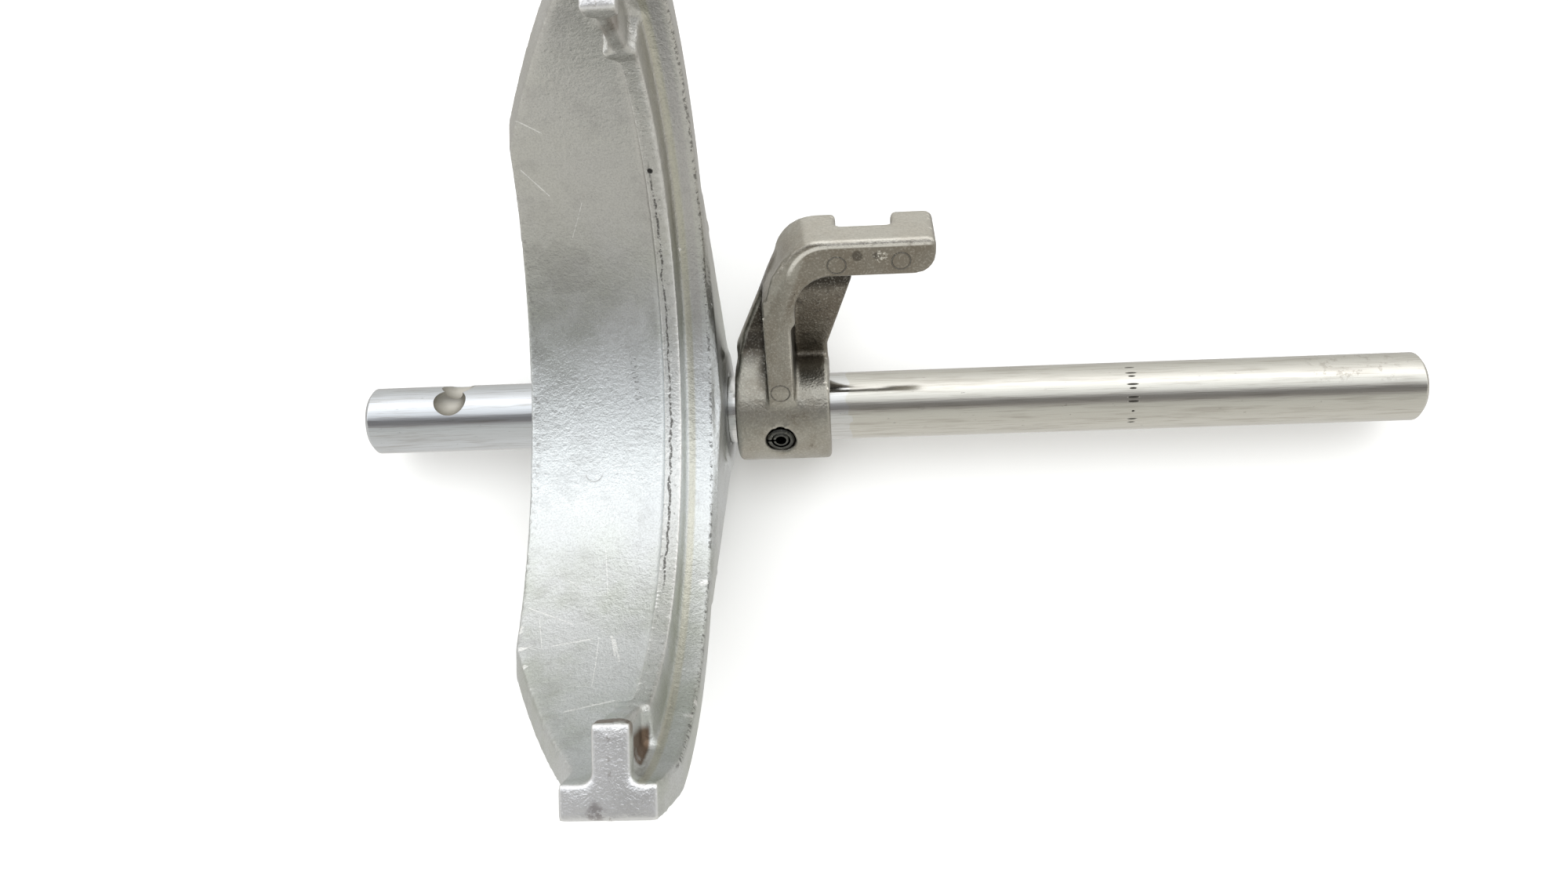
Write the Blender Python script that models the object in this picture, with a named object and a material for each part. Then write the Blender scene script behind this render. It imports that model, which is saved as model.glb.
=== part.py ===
"""Gearbox shift rail with its selector fork and its shift bracket.

A ground steel rail carries an aluminium fork and a steel bracket, and each is held on it by a
large slotted spring pin with a smaller one inside. The frame has X along the rail, from its
detent end, and Z towards the open side of the fork. The fork is symmetrical about the XZ plane.
"""

import math

import bmesh
import bpy
from mathutils import Matrix, Vector

MM = 0.001
GAP = 0.3 * MM

# Rail
RAIL_RADIUS = 10.0 * MM
RAIL_LENGTH = 311.5 * MM
RAIL_CHAMFER = 1.3 * MM
DETENT_BALL_RADIUS = 5.0 * MM
DETENT_BALL_CENTRE = 11.0 * MM
DETENTS = ((26.0 * MM, 63.0), (27.0 * MM, 20.0))

# Fork: a C for a sleeve of 150 mm, with its hub on the rail
SLEEVE_RADIUS = 75.0 * MM
SLEEVE_CENTRE_Z = 110.0 * MM
FLANGE_INNER_RADIUS = 84.5 * MM
FLANGE_OUTER_RADIUS = 92.0 * MM
FLANGE_CENTRE_Z = 114.0 * MM
FORK_LEFT = 56.4 * MM
FORK_RIGHT = 107.5 * MM
FORK_TOP_Z = 117.0 * MM
SHOULDER_X = 59.5 * MM
SHOULDER_Z = 57.5 * MM
TIP_LEFT = 84.9 * MM
TIP_RIGHT = 104.8 * MM
RIDGE_LEFT = 95.0 * MM
RIDGE_RIGHT = 99.6 * MM
RIDGE_DRAFT = 1.2 * MM
RIDGE_END_ANGLE = 78.0
PAD_LEFT = 91.6 * MM
PAD_RIGHT = 99.6 * MM
PAD_REACH = 72.6 * MM
CAP_THICKNESS = 4.6 * MM
LEDGE_TOP_Z = 93.6 * MM
LEDGE_THICKNESS = 3.2 * MM
NECK_RECESS = 2.2 * MM
HUB_RADIUS = 18.5 * MM
HUB_LEFT = 58.5 * MM
HUB_RIGHT = 109.8 * MM
FOOT_HALF_WIDTH = 14.5 * MM
FOOT_Z = -19.5 * MM
GUSSET_THICKNESS = 7.0 * MM
GUSSET_RISE = 2.3 * MM
GUSSET_REACH = 58.0 * MM
FORK_PIN_X = 85.0 * MM
FORK_PIN_LENGTH = 36.5 * MM

# Bracket: an arm that leans from +Y towards +Z
ARM_ANGLE = math.radians(42.0)
BRACKET_LEFT = 112.3 * MM
BRACKET_RIGHT = 139.9 * MM
BRACKET_HUB_RADIUS = 15.5 * MM
BAR_INNER = 50.9 * MM
BAR_OUTER = 61.6 * MM
BAR_END_X = 169.4 * MM
BAR_FRONT = 11.8 * MM
BAR_BACK = -5.0 * MM
STEM_LEFT = 122.4 * MM
STEM_RIGHT = 130.0 * MM
STEM_FRONT = 12.5 * MM
SLOT_LEFT = 143.2 * MM
SLOT_RIGHT = 158.0 * MM
SLOT_FLOOR = 2.2 * MM
BRACKET_PIN_X = 125.2 * MM
BRACKET_PIN_LEAN = math.radians(47.0)
BRACKET_PIN_LENGTH = 29.0 * MM

# Slotted spring pins, one inside the other
PIN_OUTER_RADIUS = 4.0 * MM
PIN_OUTER_BORE = 2.8 * MM
PIN_INNER_RADIUS = 2.5 * MM
PIN_INNER_BORE = 1.6 * MM
PIN_SLOT = 0.7 * MM
PIN_CHAMFER = 0.35 * MM

ROUND = 48
ARC_STEP = 4.0


def clear_scene():
    """Remove every object that the file starts with."""
    for old in list(bpy.data.objects):
        bpy.data.objects.remove(old, do_unlink=True)


def make_material(name, colour, roughness, metallic):
    """Return a Principled material."""
    material = bpy.data.materials.new(name)
    material.use_nodes = True
    shader = material.node_tree.nodes["Principled BSDF"]
    shader.inputs["Base Color"].default_value = (*colour, 1.0)
    shader.inputs["Roughness"].default_value = roughness
    shader.inputs["Metallic"].default_value = metallic
    return material


def make_object(name, mesh_builder, material=None):
    """Turn a bmesh into an object, with its faces pointing out."""
    bmesh.ops.recalc_face_normals(mesh_builder, faces=mesh_builder.faces)
    mesh = bpy.data.meshes.new(name)
    mesh_builder.to_mesh(mesh)
    mesh_builder.free()
    piece = bpy.data.objects.new(name, mesh)
    bpy.context.collection.objects.link(piece)
    if material is not None:
        mesh.materials.append(material)
        mesh.shade_smooth()
        mesh.set_sharp_from_angle(angle=math.radians(32.0))
    return piece


def loft(layers, place):
    """Join outlines with the same number of points: place turns (u, v, w) into a point.

    layers holds (outline, w) pairs, where w is a length, or a function of (u, v) for a slope.
    """
    builder = bmesh.new()
    rings = []
    for outline, depth in layers:
        height = depth if callable(depth) else (lambda u, v, fixed=depth: fixed)
        rings.append([builder.verts.new(place(u, v, height(u, v))) for u, v in outline])
    builder.faces.new(rings[0])
    builder.faces.new(list(reversed(rings[-1])))
    count = len(rings[0])
    for low, high in zip(rings, rings[1:]):
        for index in range(count):
            after = (index + 1) % count
            builder.faces.new((low[index], low[after], high[after], high[index]))
    bmesh.ops.connect_verts_nonplanar(builder, angle_limit=0.001, faces=builder.faces)
    return builder


def prism(outline, place, start, end):
    """Extrude one outline from start to end."""
    return loft([(outline, start), (outline, end)], place)


def sweep_section(section, centre_z, first, last):
    """Turn a closed (x, radius) section about the X line at centre_z, between two angles."""
    builder = bmesh.new()
    steps = max(2, round(abs(last - first) / ARC_STEP))
    rings = []
    for step in range(steps + 1):
        angle = math.radians(first + (last - first) * step / steps)
        ring = [
            builder.verts.new((x, radius * math.sin(angle), centre_z - radius * math.cos(angle)))
            for x, radius in section
        ]
        rings.append(ring)
    count = len(section)
    for before, after in zip(rings, rings[1:]):
        for index in range(count):
            follow = (index + 1) % count
            builder.faces.new((before[index], before[follow], after[follow], after[index]))
    builder.faces.new(rings[0])
    builder.faces.new(list(reversed(rings[-1])))
    return builder


def rod(radius, length, centre, direction, chamfer=0.0, segments=ROUND):
    """Return a round bar about centre, along direction, with chamfered ends."""
    half = length / 2
    profile = [(0.0, -half), (radius - chamfer, -half)]
    if chamfer > 0:
        profile += [(radius, -half + chamfer), (radius, half - chamfer)]
    profile += [(radius - chamfer, half), (0.0, half)]
    builder = bmesh.new()
    chain = [builder.verts.new((distance, 0.0, along)) for distance, along in profile]
    edges = [builder.edges.new(pair) for pair in zip(chain, chain[1:])]
    bmesh.ops.spin(
        builder, geom=chain + edges, cent=(0, 0, 0), axis=(0, 0, 1),
        angle=math.tau, steps=segments, use_merge=True,
    )
    bmesh.ops.remove_doubles(builder, verts=builder.verts, dist=1e-6)
    turn = Vector((0, 0, 1)).rotation_difference(Vector(direction)).to_matrix().to_4x4()
    builder.transform(Matrix.Translation(centre) @ turn)
    return builder


def combine(target, operation, name, mesh_builder):
    """Add or cut a hidden shape with an exact Boolean."""
    tool = make_object(name, mesh_builder)
    tool.hide_render = True
    tool.display_type = "WIRE"
    change = target.modifiers.new(name, "BOOLEAN")
    change.operation = operation
    change.object = tool
    change.solver = "EXACT"


def as_yz(u, v, w):
    """Outline in the YZ plane, extruded along X."""
    return Vector((w, u, v))


def as_xz(u, v, w):
    """Outline in the XZ plane, extruded along Y."""
    return Vector((u, w, v))


def as_xy(u, v, w):
    """Outline in the XY plane, extruded along Z."""
    return Vector((u, v, w))


def as_arm(u, v, w):
    """Outline in the bracket's own plane: u along X, v out along the arm, w towards its front."""
    out = math.cos(ARM_ANGLE), math.sin(ARM_ANGLE)
    return Vector((u, v * out[0] - w * out[1], v * out[1] + w * out[0]))


def bracket_pin_line():
    """Return the direction of the bracket's pin, which leans from +Z towards -Y."""
    return Vector((0, -math.sin(BRACKET_PIN_LEAN), math.cos(BRACKET_PIN_LEAN)))


def arc(centre, radius, first, last, steps):
    """Return points on an arc, with angles in degrees from the first axis."""
    points = []
    for step in range(steps + 1):
        angle = math.radians(first + (last - first) * step / steps)
        points.append((centre[0] + radius * math.cos(angle), centre[1] + radius * math.sin(angle)))
    return points


def box_outline(low_u, high_u, low_v, high_v):
    """Return the four corners of a rectangle."""
    return [(low_u, low_v), (high_u, low_v), (high_u, high_v), (low_u, high_v)]


def build_rail(material):
    """Make the ground rail, with its detents and two cross holes for the pins."""
    middle = (RAIL_LENGTH / 2, 0, 0)
    rail = make_object(
        "shift_rail", rod(RAIL_RADIUS, RAIL_LENGTH, middle, (1, 0, 0), RAIL_CHAMFER), material
    )
    for number, (x, degrees) in enumerate(DETENTS):
        angle = math.radians(degrees)
        ball = bmesh.new()
        bmesh.ops.create_uvsphere(ball, u_segments=24, v_segments=16, radius=DETENT_BALL_RADIUS)
        centre = (x, DETENT_BALL_CENTRE * math.cos(angle), DETENT_BALL_CENTRE * math.sin(angle))
        ball.transform(Matrix.Translation(centre))
        combine(rail, "DIFFERENCE", f"detent_{number}", ball)
    hole = PIN_OUTER_RADIUS + GAP
    long = 4 * RAIL_RADIUS
    combine(rail, "DIFFERENCE", "fork_pin_hole", rod(hole, long, (FORK_PIN_X, 0, 0), (0, 1, 0)))
    tool = rod(hole, long, (BRACKET_PIN_X, 0, 0), bracket_pin_line())
    combine(rail, "DIFFERENCE", "bracket_pin_hole", tool)
    return rail


def fork_side_outline():
    """Return the fork's outline from the side, which trims its flange."""
    low = -20.0 * MM
    return [
        (FORK_LEFT - 2.5 * MM, low), (FORK_RIGHT, low), (FORK_RIGHT, FORK_TOP_Z - 18.0 * MM),
        (TIP_RIGHT, FORK_TOP_Z), (TIP_LEFT, FORK_TOP_Z), (TIP_LEFT - 0.4 * MM, FORK_TOP_Z - 12.0 * MM),
        (TIP_LEFT - 3.6 * MM, FORK_TOP_Z - 19.0 * MM), (SHOULDER_X, SHOULDER_Z),
        (FORK_LEFT, FLANGE_CENTRE_Z - FLANGE_INNER_RADIUS),
    ]


def build_fork(material):
    """Make the cast fork: flange, ridge, tip pads, hub, gussets and rib, then its bores."""
    width = (FORK_LEFT - 8 * MM, FORK_RIGHT + 4 * MM)
    ring = [
        (width[0], FLANGE_INNER_RADIUS), (width[1], FLANGE_INNER_RADIUS),
        (width[1], FLANGE_OUTER_RADIUS), (width[0], FLANGE_OUTER_RADIUS),
    ]
    fork = make_object("shift_fork", sweep_section(ring, FLANGE_CENTRE_Z, -96, 96), material)
    side = prism(fork_side_outline(), as_xz, -110 * MM, 110 * MM)
    combine(fork, "INTERSECT", "side_trim", side)

    ridge = [
        (RIDGE_LEFT, SLEEVE_RADIUS), (RIDGE_RIGHT, SLEEVE_RADIUS),
        (RIDGE_RIGHT + RIDGE_DRAFT, SLEEVE_RADIUS + 11 * MM),
        (RIDGE_LEFT - RIDGE_DRAFT, SLEEVE_RADIUS + 11 * MM),
    ]
    angle = RIDGE_END_ANGLE
    combine(fork, "UNION", "ridge", sweep_section(ridge, SLEEVE_CENTRE_Z, -angle, angle))

    pad_root = FLANGE_INNER_RADIUS + 2.5 * MM
    neck_low = LEDGE_TOP_Z - LEDGE_THICKNESS - 1 * MM
    for side_name, sign in (("upper", 1), ("lower", -1)):
        cap = prism(
            box_outline(PAD_LEFT, PAD_RIGHT, sign * PAD_REACH, sign * pad_root), as_xy,
            FORK_TOP_Z - CAP_THICKNESS, FORK_TOP_Z - 0.01 * MM,
        )
        combine(fork, "UNION", f"{side_name}_cap", cap)
        neck = prism(
            box_outline(
                PAD_LEFT + NECK_RECESS, PAD_RIGHT - NECK_RECESS + 0.4 * MM,
                sign * (PAD_REACH + 0.4 * MM), sign * pad_root,
            ), as_xy, neck_low, FORK_TOP_Z - CAP_THICKNESS / 2,
        )
        combine(fork, "UNION", f"{side_name}_neck", neck)
        ledge = prism(
            box_outline(PAD_LEFT, PAD_RIGHT + 0.2 * MM, sign * (PAD_REACH - 0.2 * MM), sign * pad_root),
            as_xy, LEDGE_TOP_Z - LEDGE_THICKNESS, LEDGE_TOP_Z,
        )
        combine(fork, "UNION", f"{side_name}_ledge", ledge)

    hub_length = HUB_RIGHT - HUB_LEFT
    hub_middle = (HUB_LEFT + hub_length / 2, 0, 0)
    combine(fork, "UNION", "hub", rod(HUB_RADIUS, hub_length, hub_middle, (1, 0, 0), 1.0 * MM))
    foot = [
        (-FOOT_HALF_WIDTH, FOOT_Z), (FOOT_HALF_WIDTH, FOOT_Z),
        (FOOT_HALF_WIDTH + 3.5 * MM, -4 * MM), (FOOT_HALF_WIDTH + 1 * MM, 27 * MM),
        (-FOOT_HALF_WIDTH - 1 * MM, 27 * MM), (-FOOT_HALF_WIDTH - 3.5 * MM, -4 * MM),
    ]
    body = prism(foot, as_yz, HUB_LEFT + 1.5 * MM, HUB_RIGHT - 2.2 * MM)
    combine(fork, "UNION", "hub_body", body)

    for side_name, sign in (("upper", 1), ("lower", -1)):
        gusset = [(-1, -8), (17, -6), (56, 40), (52, 45), (34, 33), (-1, 26)]
        gusset = [(sign * y * MM, z * MM) for y, z in gusset]

        def gusset_face(y, _):
            return FORK_RIGHT + GUSSET_RISE * (1 - abs(y) / GUSSET_REACH)

        shape = prism(gusset, as_yz, FORK_RIGHT - GUSSET_THICKNESS, gusset_face)
        combine(fork, "UNION", f"{side_name}_gusset", shape)
    rib = [(77 * MM, 86 * MM), (85 * MM, 86 * MM), (84 * MM, 93 * MM), (78 * MM, 93 * MM)]
    combine(fork, "UNION", "back_rib", sweep_section(rib, 106 * MM, -72, 72))

    bore = rod(RAIL_RADIUS + GAP, 4 * hub_length, hub_middle, (1, 0, 0))
    combine(fork, "DIFFERENCE", "rail_bore", bore)
    hole = rod(PIN_OUTER_RADIUS + GAP, 4 * HUB_RADIUS, (FORK_PIN_X, 0, 0), (0, 1, 0))
    combine(fork, "DIFFERENCE", "pin_hole", hole)
    return fork


def arm_outline(corner_radius, corner_x, shoulder):
    """Return the outline of the bracket's bent bar, in its own plane.

    The outer corner is an arc of corner_radius that starts at corner_x, and shoulder is the
    point where it runs into the stem.
    """
    points = [(STEM_LEFT + 0.3 * MM, 36 * MM), (STEM_RIGHT + 1.3 * MM, 36 * MM)]
    fillet = 10.5 * MM
    centre = (STEM_RIGHT + 1.3 * MM + fillet, BAR_INNER - fillet)
    points += arc(centre, fillet, 180, 90, 6)
    low_corner = 5.5 * MM
    points += arc((BAR_END_X - low_corner, BAR_INNER + low_corner), low_corner, -90, 0, 5)
    high_corner = 2.2 * MM
    points += arc((BAR_END_X - high_corner, BAR_OUTER - high_corner), high_corner, 0, 90, 3)
    points += arc((corner_x, BAR_OUTER - corner_radius), corner_radius, 90, 172, 7)
    return points + [shoulder]


def web_outline():
    """Return the outline of the plate behind the stem, which widens to the hub's length."""
    edge = 0.3 * MM
    return [
        (BRACKET_LEFT + edge, 6 * MM), (BRACKET_RIGHT - edge, 6 * MM), (BRACKET_RIGHT - edge, 18 * MM),
        (147.2 * MM, 42 * MM), (148.0 * MM, BAR_INNER + 3 * MM), (127.0 * MM, BAR_INNER + 3 * MM),
        (123.6 * MM, 46 * MM), (120.6 * MM, 38 * MM), (BRACKET_LEFT + edge, 18 * MM),
    ]


def build_bracket(material):
    """Make the cast bracket: hub, web, stem and slotted bar, then its bore and pin hole."""
    length = BRACKET_RIGHT - BRACKET_LEFT
    middle = (BRACKET_LEFT + length / 2, 0, 0)
    bracket = make_object(
        "shift_bracket", rod(BRACKET_HUB_RADIUS, length, middle, (1, 0, 0), 0.8 * MM), material
    )

    centre = (BRACKET_PIN_X, 0, 0)
    hole = rod(PIN_OUTER_RADIUS + GAP, 4 * BRACKET_HUB_RADIUS, centre, bracket_pin_line())
    combine(bracket, "DIFFERENCE", "pin_hole", hole)

    stem = [
        (8 * MM, -9 * MM), (8 * MM, STEM_FRONT), (40.3 * MM, STEM_FRONT), (43.4 * MM, BAR_FRONT - 0.9 * MM),
        (43.4 * MM, -2.3 * MM), (38.2 * MM, -6.4 * MM),
    ]

    def place_stem(out, front, along):
        return as_arm(along, out, front)

    combine(bracket, "UNION", "stem", prism(stem, place_stem, STEM_LEFT, STEM_RIGHT))

    def web_front(_, out):
        return -6.5 * MM + (out - 15 * MM) * 0.155

    def web_back(_, out):
        return -12.0 * MM + (out - 15 * MM) * 0.195

    combine(bracket, "UNION", "web", prism(web_outline(), as_arm, web_back, web_front))
    back = arm_outline(12.0 * MM, 137.6 * MM, (123.6 * MM, 45.5 * MM))
    front = arm_outline(9.5 * MM, 138.6 * MM, (123.4 * MM, 44.0 * MM))
    combine(bracket, "UNION", "bar", loft([(back, BAR_BACK), (front, BAR_FRONT)], as_arm))
    slot = prism(
        box_outline(SLOT_LEFT, SLOT_RIGHT, BAR_INNER - 1.7 * MM, BAR_OUTER + 4 * MM), as_arm,
        BAR_BACK - 6 * MM, SLOT_FLOOR,
    )
    combine(bracket, "DIFFERENCE", "selector_slot", slot)
    bore = rod(RAIL_RADIUS + GAP, 2 * length, middle, (1, 0, 0))
    combine(bracket, "DIFFERENCE", "rail_bore", bore)
    return bracket


def spring_pin(name, radius, bore, length, centre, direction, material):
    """Make a rolled tube with an open slot along its -X side and chamfered ends."""
    line = Vector(direction).normalized()
    across = line.cross(Vector((1, 0, 0))).normalized()

    def place(u, v, w):
        return centre + Vector((1, 0, 0)) * u + across * v + line * w

    def c_outline(outer):
        outer_half = math.degrees(math.asin(PIN_SLOT / 2 / outer))
        inner_half = math.degrees(math.asin(PIN_SLOT / 2 / bore))
        rim = arc((0, 0), outer, -180 + outer_half, 180 - outer_half, 30)
        return rim + arc((0, 0), bore, 180 - inner_half, -180 + inner_half, 30)

    full = c_outline(radius)
    narrow = c_outline(radius - PIN_CHAMFER)
    half = length / 2
    layers = [
        (narrow, -half), (full, -half + PIN_CHAMFER), (full, half - PIN_CHAMFER), (narrow, half)
    ]
    return make_object(name, loft(layers, place), material)


def build_pins(material):
    """Make both pairs of nested spring pins."""
    pairs = (
        ("fork_pin", FORK_PIN_X, Vector((0, 1, 0)), FORK_PIN_LENGTH),
        ("bracket_pin", BRACKET_PIN_X, bracket_pin_line(), BRACKET_PIN_LENGTH),
    )
    for name, x, line, length in pairs:
        centre = Vector((x, 0, 0))
        spring_pin(f"{name}_outer", PIN_OUTER_RADIUS, PIN_OUTER_BORE, length, centre, line, material)
        spring_pin(f"{name}_inner", PIN_INNER_RADIUS, PIN_INNER_BORE, length, centre, line, material)


def main():
    clear_scene()
    ground_steel = make_material("ground_steel", (0.56, 0.56, 0.55), 0.22, 1.0)
    cast_aluminium = make_material("cast_aluminium", (0.58, 0.60, 0.60), 0.48, 0.9)
    cast_steel = make_material("cast_steel", (0.27, 0.25, 0.22), 0.5, 0.9)
    spring_steel = make_material("spring_steel", (0.03, 0.03, 0.035), 0.35, 0.8)
    build_rail(ground_steel)
    build_fork(cast_aluminium)
    build_bracket(cast_steel)
    build_pins(spring_steel)


main()
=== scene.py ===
"""Looks of a gearbox shift rail with its cast selector fork and its cast shift bracket.

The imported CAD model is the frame. Its two castings are skinned again with real casting radii, the
rail is turned again with fine faces, and the spring pins keep their CAD shape. Every piece gets a
procedural finish. The X axis runs along the rail. Lengths are in metres unless a comment or a
docstring says millimetres.
"""

import logging
import math
from dataclasses import dataclass, field
from enum import Enum
from functools import reduce
from typing import Any

import bmesh  # noqa: E402
import bpy  # noqa: E402
from mathutils import Matrix, Vector  # noqa: E402

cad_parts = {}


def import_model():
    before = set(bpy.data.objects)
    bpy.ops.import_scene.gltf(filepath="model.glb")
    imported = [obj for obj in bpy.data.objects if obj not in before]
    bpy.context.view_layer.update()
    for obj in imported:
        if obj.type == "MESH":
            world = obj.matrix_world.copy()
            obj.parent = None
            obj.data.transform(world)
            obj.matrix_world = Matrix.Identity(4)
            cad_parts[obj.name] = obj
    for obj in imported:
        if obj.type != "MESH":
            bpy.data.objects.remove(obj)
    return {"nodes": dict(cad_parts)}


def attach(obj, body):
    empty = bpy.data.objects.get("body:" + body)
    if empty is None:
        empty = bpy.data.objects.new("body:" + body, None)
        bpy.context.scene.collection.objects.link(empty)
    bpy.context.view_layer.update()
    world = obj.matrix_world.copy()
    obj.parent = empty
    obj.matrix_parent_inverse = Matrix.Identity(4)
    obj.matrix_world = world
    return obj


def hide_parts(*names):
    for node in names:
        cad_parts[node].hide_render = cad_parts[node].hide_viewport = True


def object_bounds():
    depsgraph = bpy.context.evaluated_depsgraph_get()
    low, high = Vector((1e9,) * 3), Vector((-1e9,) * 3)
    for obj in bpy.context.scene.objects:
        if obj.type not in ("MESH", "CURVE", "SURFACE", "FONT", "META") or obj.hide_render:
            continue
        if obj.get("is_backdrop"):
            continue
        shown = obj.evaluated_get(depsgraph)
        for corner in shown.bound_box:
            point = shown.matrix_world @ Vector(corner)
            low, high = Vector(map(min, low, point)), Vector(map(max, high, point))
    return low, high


LOG = logging.getLogger("shift_rail")
MM = 0.001
GROUND_GAP = 0.2 * MM
SPARE_BAND = 3

Links = dict[str, Any]


def linear(code: str) -> tuple[float, float, float, float]:
    """Turn an sRGB hex colour into linear RGBA.

    Args:
        code: Six hex digits.

    Returns:
        Linear red, green, blue and alpha.
    """
    parts = [int(code[start : start + 2], 16) / 255 for start in (0, 2, 4)]
    bright = [c / 12.92 if c <= 0.04045 else ((c + 0.055) / 1.055) ** 2.4 for c in parts]
    return (bright[0], bright[1], bright[2], 1.0)


def add_node(
    tree: bpy.types.NodeTree, kind: str, settings: Links | None = None, **links: Any
) -> Any:
    """Add a node, with its settings and its links.

    Args:
        tree: Node tree of a material, a world or a modifier.
        kind: Blender's name of the node's type.
        settings: Attributes of the node.
        links: Input name to a socket or a value. The name i2 picks input number 2.

    Returns:
        The node.
    """
    node = tree.nodes.new(kind)
    for name, value in (settings or {}).items():
        setattr(node, name, value)
    for name, value in links.items():
        key = name.replace("_", " ")
        numbered = key[0] == "i" and key[1:].isdigit()
        socket = node.inputs[int(key[1:]) if numbered else key]
        if isinstance(value, bpy.types.NodeSocket):
            tree.links.new(value, socket)
        else:
            socket.default_value = value
    return node


class Side(Enum):
    """The two arms of the fork, by the sign of Y."""

    UPPER = 1
    LOWER = -1


class Body(Enum):
    """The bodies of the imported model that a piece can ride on."""

    ROOT = "root"


class Slot(Enum):
    """The record's material slots."""

    GROUND_STEEL = "ground_steel"
    CAST_ALUMINIUM = "cast_aluminium"
    CAST_STEEL = "cast_steel"
    SPRING_STEEL = "spring_steel"


# ---------------------------------------------------------------- finishes


class Painter:
    """Builds one Principled material, with short ways to the patterns that the finishes share.

    Its methods take lengths in millimetres, while a socket of a length is in metres.
    """

    def __init__(self, name: str, metallic: float) -> None:
        """Start a material.

        Args:
            name: Name of the material, after the real finish.
            metallic: 1 for bare metal, 0 for paper.
        """
        self.material = bpy.data.materials.new(name)
        self.material.use_nodes = True
        self.tree = self.material.node_tree
        self.shader = self.tree.nodes["Principled BSDF"]
        self.shader.inputs["Metallic"].default_value = metallic
        self.place = self.add("ShaderNodeTexCoord").outputs["Object"]
        self.colour: Any = None

    def add(self, kind: str, settings: Links | None = None, **links: Any) -> Any:
        """Add a node to this material's tree, as add_node does."""
        return add_node(self.tree, kind, settings, **links)

    def math(self, operation: str, first: Any, second: Any = 0.0, third: Any = 0.0) -> Any:
        """Return the result of a Math node."""
        node = self.add("ShaderNodeMath", {"operation": operation}, i0=first, i1=second, i2=third)
        return node.outputs[0]

    def vector(self, operation: str, first: Any, second: Any, output: str = "Value") -> Any:
        """Return one output of a Vector Math node."""
        node = self.add("ShaderNodeVectorMath", {"operation": operation}, i0=first, i1=second)
        return node.outputs[output]

    def both(self, *masks: Any) -> Any:
        """Return the product of some masks, which is 1 only where each of them is."""
        return reduce(lambda one, two: self.math("MULTIPLY", one, two), masks)

    def either(self, *masks: Any) -> Any:
        """Return the largest of some masks."""
        return reduce(lambda one, two: self.math("MAXIMUM", one, two), masks)

    def blend(self, factor: Any, first: Any, second: Any) -> Any:
        """Return two colours mixed by factor."""
        node = self.add("ShaderNodeMix", {"data_type": "RGBA"}, i0=factor, i6=first, i7=second)
        return node.outputs[2]

    def cover(self, mask: Any, amount: float, code: str) -> None:
        """Cover the colour so far with an sRGB colour where mask is 1, by amount."""
        self.colour = self.blend(self.math("MULTIPLY", mask, amount), self.colour, linear(code))

    def axis(self, name: str) -> Any:
        """Return one of the Object coordinates."""
        return self.add("ShaderNodeSeparateXYZ", Vector=self.place).outputs[name]

    def pointed(self) -> Any:
        """Return how sharply the surface bends: above 0.5 on edges and below it in corners."""
        return self.add("ShaderNodeNewGeometry").outputs["Pointiness"]

    def stretched(self, scale: tuple[float, float, float]) -> Any:
        """Return Object coordinates scaled along each axis, which draws a pattern out."""
        return self.add("ShaderNodeMapping", Vector=self.place, Scale=scale).outputs[0]

    def noise(
        self, size: float, detail: float = 3.0, rough: float = 0.55, where: Any = None
    ) -> Any:
        """Return a noise pattern.

        Args:
            size: Size of the pattern's largest lumps.
            detail: Number of octaves.
            rough: How strong the finer octaves are.
            where: Coordinates, Object coordinates by default.

        Returns:
            The factor socket.
        """
        node = self.add(
            "ShaderNodeTexNoise", Vector=where or self.place, Scale=1 / (size * MM),
            Detail=detail, Roughness=rough,
        )
        return node.outputs["Fac"]

    def swing(self, pattern: Any, reach: float) -> Any:
        """Return a pattern of 0 to 1 as a length of -reach to reach."""
        return self.math("MULTIPLY_ADD", pattern, 2 * reach * MM, -reach * MM)

    def ramp(
        self, value: Any, low: float, high: float, start: float = 0.0, end: float = 1.0
    ) -> Any:
        """Map a value smoothly.

        Args:
            value: A socket without a unit.
            low: Value that gives start.
            high: Value that gives end, which may be below low.
            start: Result at low and beyond.
            end: Result at high and beyond.

        Returns:
            The mapped socket.
        """
        node = self.add(
            "ShaderNodeMapRange", {"interpolation_type": "SMOOTHSTEP"},
            Value=value, From_Min=low, From_Max=high, To_Min=start, To_Max=end,
        )
        return node.outputs[0]

    def step(self, value: Any, low: float, high: float) -> Any:
        """Return a soft step of a length: 0 at low and 1 at high, which may be below low."""
        return self.ramp(value, low * MM, high * MM)

    def band(self, value: Any, low: float, high: float, soft: float) -> Any:
        """Return 1 where a length lies between low and high, with soft edges."""
        rise = self.step(value, low - soft, low + soft)
        return self.both(rise, self.step(value, high + soft, high - soft))

    def zone(self, *limits: tuple[Any, float, float, float]) -> Any:
        """Return 1 where each length lies in its own band of low, high and softness."""
        return self.both(*(self.band(*limit) for limit in limits))

    def near_line(self, value: Any, centre: float, half: float, wander: Any = None) -> Any:
        """Draw a soft line.

        Args:
            value: The length that the line has one value of.
            centre: That value.
            half: Half of the line's width.
            wander: Socket of a length that the line strays by.

        Returns:
            A mask that is 1 on the line.
        """
        if wander is not None:
            value = self.math("ADD", value, wander)
        away = self.math("ABSOLUTE", self.math("SUBTRACT", value, centre * MM))
        return self.step(away, half * 1.5, half * 0.5)

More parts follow.
